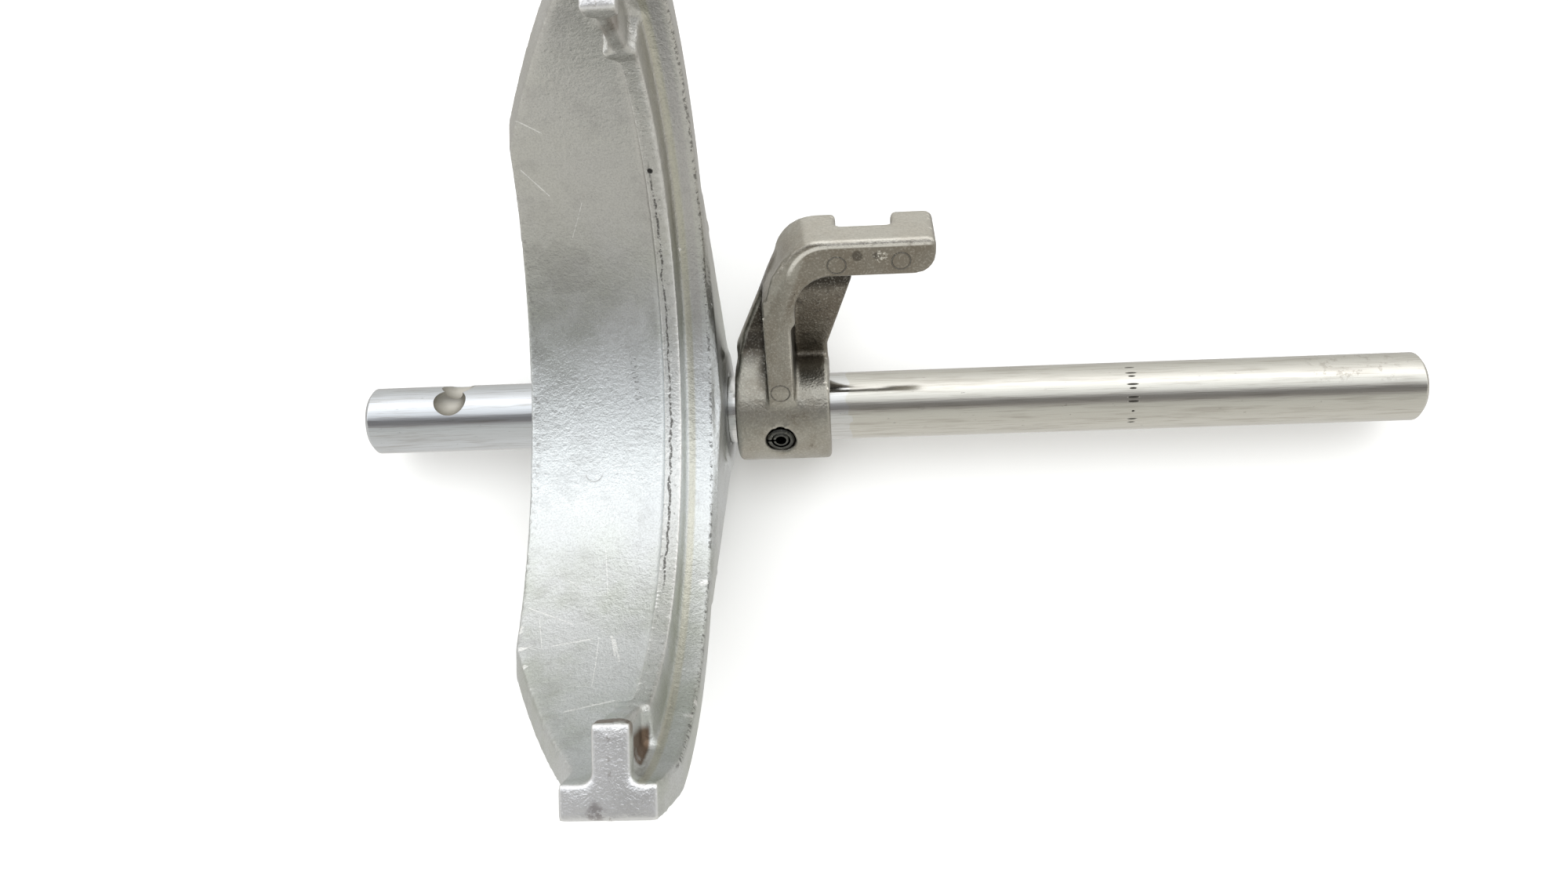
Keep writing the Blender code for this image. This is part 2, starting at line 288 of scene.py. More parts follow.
    def spot(
        self, centre: tuple[float, float, float], radius: float, soft: float, wobble: float = 0.0
    ) -> Any:
        """Draw a soft spot.

        Args:
            centre: Its centre.
            radius: Its radius.
            soft: Half the width of its soft edge.
            wobble: How much noise moves its edge.

        Returns:
            A mask that is 1 in the spot.
        """
        distance = self.vector("DISTANCE", self.place, Vector(centre) * MM)
        if wobble > 0:
            distance = self.math("ADD", distance, self.swing(self.noise(3), wobble / 2))
        return self.step(distance, radius + soft, radius - soft)

    def scratch(self, start: tuple[float, float], end: tuple[float, float], half: float) -> Any:
        """Draw a fine uneven scratch, whatever its height.

        Args:
            start: X and Y of its start.
            end: X and Y of its end.
            half: Half of its width.

        Returns:
            A mask that is 1 in the scratch.
        """
        first, last = Vector((*start, 0.0)) * MM, Vector((*end, 0.0)) * MM
        run = last - first
        flat = self.vector("MULTIPLY", self.place, (1, 1, 0), "Vector")
        off = self.vector("SUBTRACT", flat, first, "Vector")
        along = self.vector("DOT_PRODUCT", off, run / run.length_squared)
        part = self.add("ShaderNodeClamp", Value=along).outputs[0]
        foot = self.add("ShaderNodeVectorMath", {"operation": "SCALE"}, i0=run, Scale=part)
        gap = self.vector("DISTANCE", off, foot.outputs["Vector"])
        gap = self.math("ADD", gap, self.swing(self.noise(1.5), half))
        return self.step(gap, half * 1.4, half * 0.6)

    def ring(self, centre: tuple[float, float], radius: float, half: float) -> Any:
        """Return 1 along a circle about an (X, Y) point, whatever its height."""
        flat = self.vector("MULTIPLY", self.place, (1, 1, 0), "Vector")
        away = self.vector("DISTANCE", flat, Vector((*centre, 0)) * MM)
        return self.near_line(away, radius, half)

    def diagonal(self, first: Any, second: Any) -> Any:
        """Return the length of a diagonal, from its two sides."""
        square = self.math("MULTIPLY", second, second)
        return self.math("SQRT", self.math("MULTIPLY_ADD", first, first, square))

    def radius_about(self, height: float) -> Any:
        """Return the distance from the line along X at a height."""
        up = self.math("SUBTRACT", self.axis("Z"), height * MM)
        return self.diagonal(up, self.axis("Y"))

    def bump(self, height: Any, distance: float, strength: float, under: Any = None) -> Any:
        """Bump the surface.

        Args:
            height: Pattern of 0 to 1.
            distance: How high 1 stands.
            strength: How much of the bump is used.
            under: Normal that is bumped already.

        Returns:
            The normal.
        """
        links = {"Height": height, "Distance": distance * MM, "Strength": strength}
        if under is not None:
            links["Normal"] = under
        return self.add("ShaderNodeBump", None, **links).outputs[0]

    def finish(self, roughness: Any, normal: Any = None) -> bpy.types.Material:
        """Connect the colour so far and the other patterns to the shader.

        Args:
            roughness: Socket or value.
            normal: Socket of a bumped normal.

        Returns:
            The material.
        """
        for name, value in (
            ("Base Color", self.colour), ("Roughness", roughness), ("Normal", normal)
        ):
            if isinstance(value, bpy.types.NodeSocket):
                self.tree.links.new(value, self.shader.inputs[name])
            elif value is not None:
                self.shader.inputs[name].default_value = value
        return self.material


@dataclass(frozen=True)
class CastAluminium:
    """Pressure-cast aluminium, shot-blasted: a satin light grey with an orange-peel skin.

    The eye reads broad soft highlights, cloudy patches, a paler cool band painted across the
    middle as light and a darker warm tone painted toward the upper arm as shade, highlights
    painted on the edges, shade painted into the corners and the tips' recesses, hairline
    scratches from handling, and a torn, specked skin along the ridge that the machining left.
    Lengths are in millimetres here.
    """

    pale: str = "d6d8d8"
    cool: str = "e0e4e6"
    warm: str = "cbc9c4"
    olive: str = "c5c9c2"
    lilac: str = "bebbbb"
    tan: str = "c3c1b1"
    dark: str = "4c4a47"
    # grey for clouds, grain and smudges, and for shade painted into concave corners
    dark_tone_and_shade: str = "8f8d8b"
    # brown for the tips' seam, and for shade painted into the tips' recesses
    rust_and_shade: str = "6e5a48"
    bright: str = "f6f6f4"
    crown: str = "eaeaec"
    stain: str = "7a6f70"
    hole: str = "1c1b1a"
    roughness: float = 0.40
    peel: float = 1.2
    blast: float = 0.45
    grain: float = 0.22
    # centre, radius, softness, wobble and amount
    smudges: tuple[tuple[tuple[float, float, float], float, float, float, float], ...] = (
        ((69, 37, 37), 8, 1.2, 14, 0.16), ((73, 30, 35), 15, 10, 14, 0.20),
        ((72, -44, 42), 6, 3.0, 6, 0.12),
    )
    # brown shade painted into the tips' recesses: centre, radius and amount
    recess_shade: tuple[tuple[tuple[float, float, float], float, float], ...] = (
        ((96.0, -72.6, 114), 4.6, 0.85), ((99.5, 74.0, 108), 4.0, 0.45),
        ((93.0, 73.4, 104), 3.0, 0.35),
    )
    # start, end and half the width
    scratches: tuple[tuple[tuple[float, float], tuple[float, float], float], ...] = (
        ((62.2, 69.4), (69.1, 66.4), 0.10), ((61.6, 59.4), (67.7, 53.8), 0.13),
        ((60.9, -54.7), (73.0, -58.7), 0.10), ((69.2, -63.6), (78.8, -62.2), 0.12),
        ((76.9, -76.6), (88.1, -74.8), 0.14), ((83.7, -61.8), (85.5, -65.8), 0.30),
        ((84.6, -62.6), (86.8, -67.1), 0.22), ((64.0, -57.0), (66.5, -64.0), 0.08),
        ((72.0, 44.0), (76.0, 52.0), 0.07), ((79.0, -40.0), (81.0, -52.0), 0.07),
        ((80.5, -62.0), (81.5, -72.0), 0.09), ((70.0, -48.0), (74.5, -50.5), 0.07),
    )

    def material(self, fork: "Fork") -> bpy.types.Material:
        """Make the material, whose machined and worn zones follow the fork's own sizes.

        Args:
            fork: The fork that it is for.

        Returns:
            The material.
        """
        p = Painter("cast_aluminium_shot_blasted", 1.0)
        inner, along = fork.flange_inner / MM, p.axis("Y")
        inside = p.step(p.radius_about(fork.flange_height / MM), inner + 1.2, inner + 0.5)
        clouds, wisps = p.noise(24, 4, 0.62), p.noise(7, 4, 0.6)
        fine, torn = p.noise(self.blast, 2, 0.5), p.noise(1.1, 4, 0.75)
        wander = p.swing(p.noise(5, 3, 0.6), 1.2)

        p.colour = p.blend(p.ramp(clouds, 0.36, 0.64), linear(self.olive), linear(self.pale))
        # painted light and shade of the curved face: a paler cool band across the middle, and a
        # darker warm tone toward the upper arm
        p.cover(p.band(along, -38, 14, 18), 0.85, self.cool)
        p.cover(p.step(along, 16, 52), 0.8, self.warm)
        p.cover(p.ramp(wisps, 0.50, 0.68), 0.16, self.dark_tone_and_shade)
        self.wide_face(p, inside, wisps)
        # the blasted skin's grey grain, drawn coarser than real so that it shows
        p.cover(p.ramp(fine, 0.40, 0.68), self.grain, self.dark_tone_and_shade)
        top, gouges = self.ridge_face(p, fork, torn, wander)
        # dark flakes along the flange's outer corner
        stray = p.math("MULTIPLY", wander, 0.3)
        flakes = p.near_line(p.axis("X"), fork.right / MM - 0.5, 0.4, stray)
        flakes = p.both(flakes, p.ramp(torn, 0.50, 0.58), inside)
        p.cover(flakes, 0.7, self.dark)
        self.tips(p, wisps, wander)
        pointed = p.pointed()
        # painted highlight: the edges are lightened, broken up by noise
        edge = p.both(p.ramp(pointed, 0.52, 0.565), p.ramp(wisps, 0.30, 0.50))
        p.cover(edge, 0.7, self.bright)
        # painted shade: concave corners are darkened
        p.cover(p.ramp(pointed, 0.47, 0.42), 0.45, self.dark_tone_and_shade)

        peel = p.noise(self.peel, 3, 0.6)
        lumps = p.math("MULTIPLY_ADD", p.math("SUBTRACT", torn, 0.5), top, peel)
        normal = p.bump(lumps, 0.30, 0.6)
        normal = p.bump(fine, 0.10, 0.75, normal)
        normal = p.bump(gouges, -0.25, 0.8, normal)
        roughness = p.ramp(clouds, 0.3, 0.7, self.roughness - 0.06, self.roughness + 0.06)
        return p.finish(p.math("MULTIPLY_ADD", edge, -0.08, roughness), normal)

    def wide_face(self, p: Painter, inside: Any, wisps: Any) -> None:
        """Add the inner face's stripes, smudges, small marks and scratches.

        Args:
            p: Painter of the material.
            inside: Mask of the inner face.
            wisps: Noise pattern of small clouds.
        """
        across, along = p.axis("X"), p.axis("Y")
        # a tan stripe beside the ridge, and a lilac stripe past it on the upper arm
        right = p.both(inside, p.step(across, 100.4, 101.0))
        stripe = p.both(right, p.band(across, 100.9, 102.7, 0.4))
        p.cover(stripe, 0.75, self.tan)
        stripe = p.both(right, p.band(across, 103.0, 105.4, 0.5), p.step(along, 0, 30))
        p.cover(stripe, 0.55, self.lilac)
        for centre, radius, soft, wobble, amount in self.smudges:
            smudge = p.both(inside, p.spot(centre, radius, soft, wobble))
            p.cover(smudge, amount, self.dark_tone_and_shade)
        # a column of plain ticks and a plain crescent, where an inspector's marks would be
        ticks = p.ramp(p.noise(0.5, 2, 0.5, p.stretched((0.35, 1.2, 0.2))), 0.54, 0.60)
        column = p.near_line(across, 87.0, 0.8, p.math("MULTIPLY", along, 0.1))
        p.cover(p.both(column, p.band(along, 0.5, 13, 1), ticks), 0.6, self.dark)
        crescent = p.both(p.ring((74.6, -19.5), 2.3, 0.20), inside, p.step(along, -19.4, -20.4))
        p.cover(crescent, 0.5, self.dark_tone_and_shade)
        marks = p.math("MULTIPLY", p.ramp(p.noise(0.9, 3, 0.7), 0.68, 0.72), 0.5)
        marks = p.either(marks, *(p.scratch(*scratch) for scratch in self.scratches))
        p.cover(p.both(marks, inside), 0.75, self.bright)
        p.cover(p.ramp(p.noise(1.3, 5, 0.8), 0.665, 0.70), 0.35, self.dark)
        rim = p.both(p.near_line(across, 58.2, 1.1, p.swing(wisps, 1)), inside)
        rim = p.both(rim, p.ramp(p.noise(1.4, 4, 0.7), 0.52, 0.62))
        p.cover(rim, 0.45, self.dark_tone_and_shade)

    def ridge_face(
        self, p: Painter, fork: "Fork", torn: Any, wander: Any
    ) -> tuple[Any, Any]:
        """Add the torn skin along the ridge's inner face, and the bright line beside it.

        Args:
            p: Painter of the material.
            fork: The fork.
            torn: Noise pattern of the torn skin.
            wander: Length that the crack strays by.

        Returns:
            The mask of the ridge's face, and the mask of what is sunk into it.
        """
        across, along = p.axis("X"), p.axis("Y")
        sleeve = fork.sleeve_radius / MM
        top = p.step(p.radius_about(fork.sleeve_height / MM), sleeve + 0.9, sleeve + 0.5)
        top = p.both(top, p.band(across, 94.6, 100.2, 0.1))
        crack = p.both(p.near_line(across, 96.5, 0.26, wander), p.ramp(torn, 0.42, 0.52))
        crack = p.both(crack, top, p.band(along, -50, 56, 4))
        chips = p.both(p.ramp(torn, 0.60, 0.66), top, 0.6)
        p.cover(top, 0.35, self.warm)
        p.cover(p.both(p.ramp(torn, 0.40, 0.34), top), 0.6, self.bright)
        p.cover(p.either(crack, chips), 0.8, self.dark)
        # a bright line along the ridge's right edge, partly wear and partly painted highlight
        line = p.both(p.near_line(across, 99.35, 0.16), top, p.band(along, -62, 45, 6))
        p.cover(line, 0.9, self.bright)
        pit = p.spot((96.5, 55.8, 60), 0.75, 0.2, 0.5)
        p.cover(pit, 0.95, self.hole)
        return top, p.either(crack, pit)

    def tips(self, p: Painter, wisps: Any, wander: Any) -> None:
        """Add the brown shade painted into the tips' recesses, and the tips' bright crowns and
        seams.

        Args:
            p: Painter of the material.
            wisps: Noise pattern of small clouds.
            wander: Length that the seam strays by.
        """
        across, along, up = p.axis("X"), p.axis("Y"), p.axis("Z")
        # painted shade: brown in the recesses under the tips' caps
        for centre, reach, amount in self.recess_shade:
            seat = p.both(p.spot(centre, reach, 1.2, 3), p.step(up, 116.4, 115.8))
            seat = p.both(seat, p.ramp(wisps, 0.30, 0.52))
            p.cover(seat, amount, self.rust_and_shade)
        p.cover(p.step(up, 116.0, 116.6), 0.85, self.crown)
        # painted shade: brown in the lower tip's pocket under its cap
        pocket = p.zone((across, 96.0, 99.4, 0.4), (along, -85, -77.5, 1), (up, 91, 104, 1))
        p.cover(p.both(pocket, p.ramp(wisps, 0.26, 0.46)), 0.95, self.rust_and_shade)
        blot = p.noise(1.6, 4, 0.75)
        seam = p.near_line(across, 95.4, 0.35, p.math("MULTIPLY", wander, 0.5))
        seam = p.both(seam, p.step(up, 116.2, 116.6), p.ramp(blot, 0.55, 0.62))
        p.cover(seam, 0.35, self.rust_and_shade)
        stain = p.both(p.spot((92.6, -89.8, 117), 1.6, 0.6, 3), p.ramp(blot, 0.36, 0.52))
        p.cover(stain, 0.55, self.stain)


@dataclass(frozen=True)
class CastSteel:
    """Shell-cast steel, bead-blasted: warm grey with a sandy skin and bright edges, which are
    painted highlights.

    The eye reads a fine grain, brown shade painted into the hollows and under the bar, light
    painted on the web's rim, a lighter outer face on the bar and a darker stem face. Lengths are in
    millimetres here.
    """

    body: str = "aaa79e"
    brown: str = "8c8171"
    film: str = "6f6557"
    # brown for oil on the hub and in pits, and for shade painted on the web and into corners
    oil_and_shade: str = "574c3f"
    dark: str = "3a3632"
    # near-black for shade painted beside the stem, under the bar and on the web's foot
    dark_tone_and_shade: str = "2b2824"
    bright: str = "e6e2d8"
    # near-white for the highlight painted round the bar's front edge
    highlight_and_wear: str = "f4f1ea"
    roughness: float = 0.34
    sand: float = 0.6
    # place along the rail, out along the arm, and radius
    blemishes: tuple[tuple[float, float, float], ...] = (
        (148.6, 57.3, 1.4), (153.6, 57.2, 0.9), (131.0, 13.0, 0.8), (116.0, 8.0, 0.8),
    )

    def material(self, bracket: "Bracket") -> bpy.types.Material:
        """Make the material, whose tones, painted shade and painted light follow the bracket's own
        plane.

        Args:
            bracket: The bracket that it is for.

        Returns:
            The material.
        """
        p = Painter("cast_steel_sand_skin", 1.0)
        clouds, wisps = p.noise(11, 4, 0.6), p.noise(3, 4, 0.65)
        grain = p.noise(self.sand, 3, 0.6)
        out = p.vector("DOT_PRODUCT", p.place, bracket.out)
        front = p.vector("DOT_PRODUCT", p.place, bracket.front)
        base = p.ramp(clouds, 0.40, 0.64, 0.0, 0.35)
        p.colour = p.blend(base, linear(self.body), linear(self.brown))
        # a brown tone on the bar's front face
        slant = p.math("MULTIPLY_ADD", out, -0.35, p.axis("X"))
        face = p.both(p.step(front, 11.0, 11.6), p.step(out, 36, 44), p.step(slant, 113.6, 115.2))
        p.cover(face, 0.55, self.film)
        hub = p.both(p.ramp(clouds, 0.56, 0.66), p.step(out, 14, 10))
        p.cover(hub, 0.35, self.oil_and_shade)
        # painted shade: the web under the bar is darkened brown
        web = p.both(p.step(front, 1, -2), p.band(out, 14.5, 52, 2.5), p.step(front, -9, -8))
        p.cover(web, 0.66, self.oil_and_shade)
        # painted shade beside the stem, under the bar and on the web's foot
        p.cover(self.corners(p, out, front), 0.85, self.dark_tone_and_shade)
        highlight_and_wear = self.lit_and_rubbed(p, out, front, wisps)
        # darker patches in the web's painted shade
        p.cover(p.both(web, p.ramp(wisps, 0.56, 0.64)), 0.4, self.dark)
        # dark blemishes between the bar's marks, and rubbed specks beside them
        for along, reach, radius in self.blemishes:
            spot = p.spot(bracket.point(along, reach, 11.8), radius, 0.35, 1.6)
            p.cover(spot, 0.55, self.dark)
        rub = p.spot(bracket.point(154.8, 57.0, 11.8), 1.5, 0.6, 2.0)
        p.cover(p.both(rub, p.ramp(grain, 0.5, 0.6)), 0.8, self.bright)
        # the sand's grain and its pits
        p.cover(p.ramp(grain, 0.50, 0.68), 0.22, self.bright)
        p.cover(p.ramp(grain, 0.46, 0.34), 0.12, self.oil_and_shade)
        p.cover(p.ramp(p.noise(0.8, 4, 0.75), 0.64, 0.70), 0.40, self.dark)
        pointed = p.pointed()
        # painted highlight: the edges are lightened, broken up by noise
        edge = p.both(p.ramp(pointed, 0.52, 0.575), p.ramp(wisps, 0.28, 0.48))
        p.cover(edge, 0.95, self.bright)
        # painted shade: concave corners are darkened
        p.cover(p.ramp(pointed, 0.47, 0.42), 0.6, self.oil_and_shade)
        broken = p.ramp(wisps, 0.30, 0.50, 0.5, 1.0)
        for along, reach, height, radius in bracket.marks:
            centre = bracket.point(along, reach, height) * MM
            ring = p.near_line(p.vector("DISTANCE", p.place, centre), radius, 0.22)
            p.cover(p.both(ring, broken), 0.75, self.dark)

        normal = p.bump(grain, 0.17, 0.7, p.bump(wisps, 0.40, 0.5))
        roughness = p.ramp(clouds, 0.3, 0.7, self.roughness - 0.05, self.roughness + 0.06)
        roughness = p.math("MULTIPLY_ADD", p.either(edge, highlight_and_wear), -0.14, roughness)
        return p.finish(roughness, normal)

    def corners(self, p: Painter, out: Any, front: Any) -> Any:
        """Mask the corners beside the stem and under the bar, where shade is painted.

        Args:
            p: Painter of the material.
            out: Distance out along the arm.
            front: Distance in front of the arm's plane.

        Returns:
            The mask.
        """
        across = p.axis("X")
        left = p.zone((across, 119.6, 122.7, 1.6), (out, 14, 46, 3))
        right = p.zone((across, 129.4, 130.6, 0.5), (out, 14, 42, 3))
        beside = p.both(p.either(left, right), p.step(front, 11.2, 10.2))
        under = p.both(p.band(across, 130.5, 160, 1), p.step(out, 37.5, 42))
        under = p.both(under, p.step(out, 51.6, 51.0), p.step(front, 9.6, 8.6))
        foot = p.both(p.band(out, 17, 36, 3), p.step(front, 4, 1), p.step(across, 122.8, 122.2))
        foot = p.both(foot, p.step(front, -8, -7), 0.6)
        return p.either(beside, under, foot)

    def lit_and_rubbed(self, p: Painter, out: Any, front: Any, wisps: Any) -> Any:
        """Add painted light on the web's rim and the bar's front edge, and tones on the bar and
        stem.

        Args:
            p: Painter of the material.
            out: Distance out along the arm.
            front: Distance in front of the arm's plane.
            wisps: Noise pattern of small clouds.

        Returns:
            The mask of the highlight painted round the bar's front edge.
        """
        across = p.axis("X")
        slant = p.math("MULTIPLY_ADD", out, -0.4, across)
        # painted light: the strip of the web's rim that the stem and bar don't shade
        rim = p.both(p.zone((slant, 105.4, 106.9, 0.3), (out, 20, 38, 2)), p.step(front, 1, 0))
        p.cover(rim, 0.45, self.bright)
        # the bar's outer face is lighter in tone
        p.cover(p.step(out, 60.6, 61.2), 0.40, self.bright)
        # the stem's face is darker in tone
        stem = p.both(p.step(front, 12.1, 12.4), p.step(out, 14, 17))
        p.cover(stem, 0.25, self.oil_and_shade)
        # painted highlight along the bar's front edge and round its bend
        over_x = p.math("SUBTRACT", across, 140.6 * MM)
        over_out = p.math("SUBTRACT", out, 49.6 * MM)
        bend = p.near_line(p.diagonal(over_x, over_out), 10.6, 0.55)
        bend = p.both(bend, p.step(over_x, 1, 0), p.step(over_out, 1, 6))
        straight = p.both(p.near_line(out, 60.3, 0.55), p.band(over_x, 0, 27.6, 1))
        highlight_and_wear = p.both(p.either(bend, straight), p.step(front, 9.6, 10.8))
        highlight_and_wear = p.both(highlight_and_wear, p.ramp(wisps, 0.30, 0.46, 0.5, 1.0))
        p.cover(highlight_and_wear, 0.9, self.highlight_and_wear)
        return highlight_and_wear


@dataclass(frozen=True)
class GroundSteel:
    """Centreless-ground and polished steel: long clear reflections, with fine drawn marks.

    The eye reads long streaks, a dull oil film past the bracket, a few stains by the plain end,
    and matt brown scale in the detents, which the grinding wheel doesn't reach.
    """

    bright: str = "d6d6d5"
    cool: str = "cfd2d6"
    film: str = "cfccc2"
    stain: str = "8d857a"
    scale: str = "aeaaa0"
    dark: str = "4a4640"
    stamped: str = "3c3a37"
    roughness: float = 0.11

    def material(self, rail: "Rail") -> bpy.types.Material:
        """Make the material, whose film and stains lie where they do along this rail.

        Args:
            rail: The rail that it is for.

        Returns:
            The material.
        """
        p = Painter("ground_steel_polished", 1.0)
        lines = p.noise(0.5, 3, 0.6, p.stretched((0.03, 1, 1)))
        streaks = p.noise(1.6, 3, 0.6, p.stretched((0.08, 1, 1)))
        along = p.axis("X")
        clouds, wisps = p.noise(7, 4, 0.6), p.noise(2.2, 4, 0.7)
        start = rail.film_start / MM
        filmed = p.step(p.math("ADD", along, p.swing(clouds, 4.5)), start - 0.3, start + 0.3)
        p.colour = p.blend(p.step(along, 50, 60), linear(self.cool), linear(self.bright))
        p.cover(filmed, 0.75, self.film)
        p.cover(p.ramp(streaks, 0.50, 0.70), 0.26, self.stain)
        p.cover(p.ramp(lines, 0.52, 0.70), 0.28, self.stain)
        nicks = p.ramp(p.noise(1.0, 4, 0.75, p.stretched((0.4, 1, 1))), 0.66, 0.70)
        nicks = p.math("MULTIPLY", nicks, 0.5)
        p.cover(nicks, 0.8, self.dark)
        spots = p.both(p.band(along, 279, 303, 3), p.ramp(wisps, 0.55, 0.62))
        spots = p.both(spots, p.step(p.axis("Y"), 0, 3))
        p.cover(spots, 0.35, self.stain)
        # scale in the detents and in the stamped strokes, but not on the ends' chamfers
        radius, length, end = rail.radius / MM, rail.length / MM, rail.chamfer * 1.5 / MM
        deep = p.step(p.radius_about(0), radius - 0.06, radius - 0.16)
        deep = p.both(deep, p.band(along, end, length - end, 0.1))
        p.cover(deep, 0.9, self.scale)
        mark = rail.mark_start / MM
        stamped = p.both(deep, p.band(along, mark - 1, mark + 6, 0.1))
        p.cover(stamped, 0.9, self.stamped)

        roughness = p.math("MULTIPLY_ADD", filmed, 0.05, self.roughness)
        roughness = p.math("MULTIPLY_ADD", p.either(spots, nicks), 0.15, roughness)
        roughness = p.math("MULTIPLY_ADD", deep, 0.36, roughness)
        return p.finish(roughness, p.bump(lines, 0.02, 0.6, p.bump(streaks, 0.05, 0.6)))


@dataclass(frozen=True)
class BlackOxide:
    """Black-oxide spring steel: nearly black, oiled, with small glints on its edges."""

    body: str = "1b1c1e"
    # grey for rubbed patches, and for glints painted on the edges
    highlight_and_wear: str = "96968f"

    def material(self) -> bpy.types.Material:
        """Make the material.

        Returns:
            The material.
        """
        p = Painter("spring_steel_black_oxide", 1.0)
        lit_and_rubbed = p.ramp(p.noise(0.8, 3, 0.6), 0.60, 0.72)
        # painted highlight: glints on the pins' edges, where the rubbed patches let them
        glint = p.both(p.ramp(p.pointed(), 0.52, 0.62), p.ramp(lit_and_rubbed, 0.0, 0.2, 0.5, 1.0))
        edge = p.either(p.math("MULTIPLY", lit_and_rubbed, 0.4), glint)
        p.colour = p.blend(edge, linear(self.body), linear(self.highlight_and_wear))
        normal = p.bump(p.noise(0.3, 2, 0.5), 0.02, 0.4)
        return p.finish(p.ramp(p.noise(1.5), 0.3, 0.7, 0.16, 0.30), normal)


# ---------------------------------------------------------------- shared making


def add_object(name: str, mesh: bpy.types.Mesh) -> bpy.types.Object:
    """Put a mesh into the scene as an object at the origin."""
    piece = bpy.data.objects.new(name, mesh)
    bpy.context.scene.collection.objects.link(piece)
    return piece


def from_builder(name: str, builder: bmesh.types.BMesh, sharp: float = 30.0) -> bpy.types.Object:
    """Turn a bmesh into a smooth object whose faces point outwards.

    Args:
        name: Name of the object.
        builder: The bmesh, which is freed.
        sharp: Angle in degrees past which an edge stays sharp.

    Returns:
        The object.
    """
    bmesh.ops.remove_doubles(builder, verts=builder.verts, dist=1e-6)
    bmesh.ops.recalc_face_normals(builder, faces=builder.faces)
    mesh = bpy.data.meshes.new(name)
    builder.to_mesh(mesh)
    builder.free()
    mesh.shade_smooth()
    mesh.set_sharp_from_angle(angle=math.radians(sharp))
    return add_object(name, mesh)


def settle(source: bpy.types.Object, name: str, sharp: float | None = None) -> bpy.types.Object:
    """Turn an object with modifiers into a new object with a plain mesh.

    Args:
        source: The object, which is removed.
        name: Name of the new object's mesh.
        sharp: Angle in degrees past which an edge stays sharp, if any edge does.

    Returns:
        The new object.
    """
    graph = bpy.context.evaluated_depsgraph_get()
    mesh = bpy.data.meshes.new_from_object(source.evaluated_get(graph))
    bpy.data.objects.remove(source, do_unlink=True)
    mesh.name = name
    mesh.shade_smooth()
    if sharp is not None:
        mesh.set_sharp_from_angle(angle=math.radians(sharp))
    return add_object(name, mesh)


def dress(
    piece: bpy.types.Object, finish: bpy.types.Material, slot: Slot, *stands_for: str
) -> None:
    """Give a piece its finish and tie it to the frame.

    Args:
        piece: The finished piece.
        finish: Its material.
        slot: The record's slot that the finish belongs to. Not used.
        stands_for: CAD nodes that the piece replaces.
    """
    piece.data.materials.clear()
    piece.data.materials.append(finish)
    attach(piece, Body.ROOT.value)
    if stands_for:
        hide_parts(*stands_for)
    LOG.info("%s: %d faces", piece.name, len(piece.data.polygons))


def block(low: Vector, high: Vector) -> bmesh.types.BMesh:
    """Make a box.

    Args:
        low: Its lowest corner.
        high: Its highest corner.

    Returns:
        The closed body.
    """
    builder = bmesh.new()
    bmesh.ops.create_cube(builder, size=1.0)
    builder.transform(Matrix.Translation((low + high) / 2) @ Matrix.Diagonal((*(high - low), 1.0)))
    return builder


def hull(points: list[Vector]) -> bmesh.types.BMesh:
    """Wrap points in their convex hull.

    Args:
        points: The points.

    Returns:
        The closed body.
    """
    builder = bmesh.new()
    for point in points:
        builder.verts.new(point)
    result = bmesh.ops.convex_hull(builder, input=builder.verts)
    loose = [item for item in result["geom_interior"] if isinstance(item, bmesh.types.BMVert)]
    bmesh.ops.delete(builder, geom=loose, context="VERTS")
    return builder


def ring_sweep(
    section: list[tuple[float, float]], height: float, first: float, last: float, step: float
) -> bmesh.types.BMesh:
    """Turn a closed (x, radius) section about the line along X at a height.

    Args:
        section: Outline of the section.
        height: Height of the line.
        first: First angle in degrees, from straight down.
        last: Last angle.
        step: Angle between two copies of the section.

    Returns:
        The closed body.
    """
    builder = bmesh.new()
    count = max(2, round((last - first) / step))
    rings = []
    for index in range(count + 1):
        angle = math.radians(first + (last - first) * index / count)
        side, down = math.sin(angle), math.cos(angle)
        rings.append([builder.verts.new((x, r * side, height - r * down)) for x, r in section])
    size = len(section)
    for one, two in zip(rings, rings[1:]):
        for index in range(size):
            after = (index + 1) % size
            builder.faces.new((one[index], one[after], two[after], two[index]))
    builder.faces.new(rings[0])
    builder.faces.new(list(reversed(rings[-1])))
    return builder


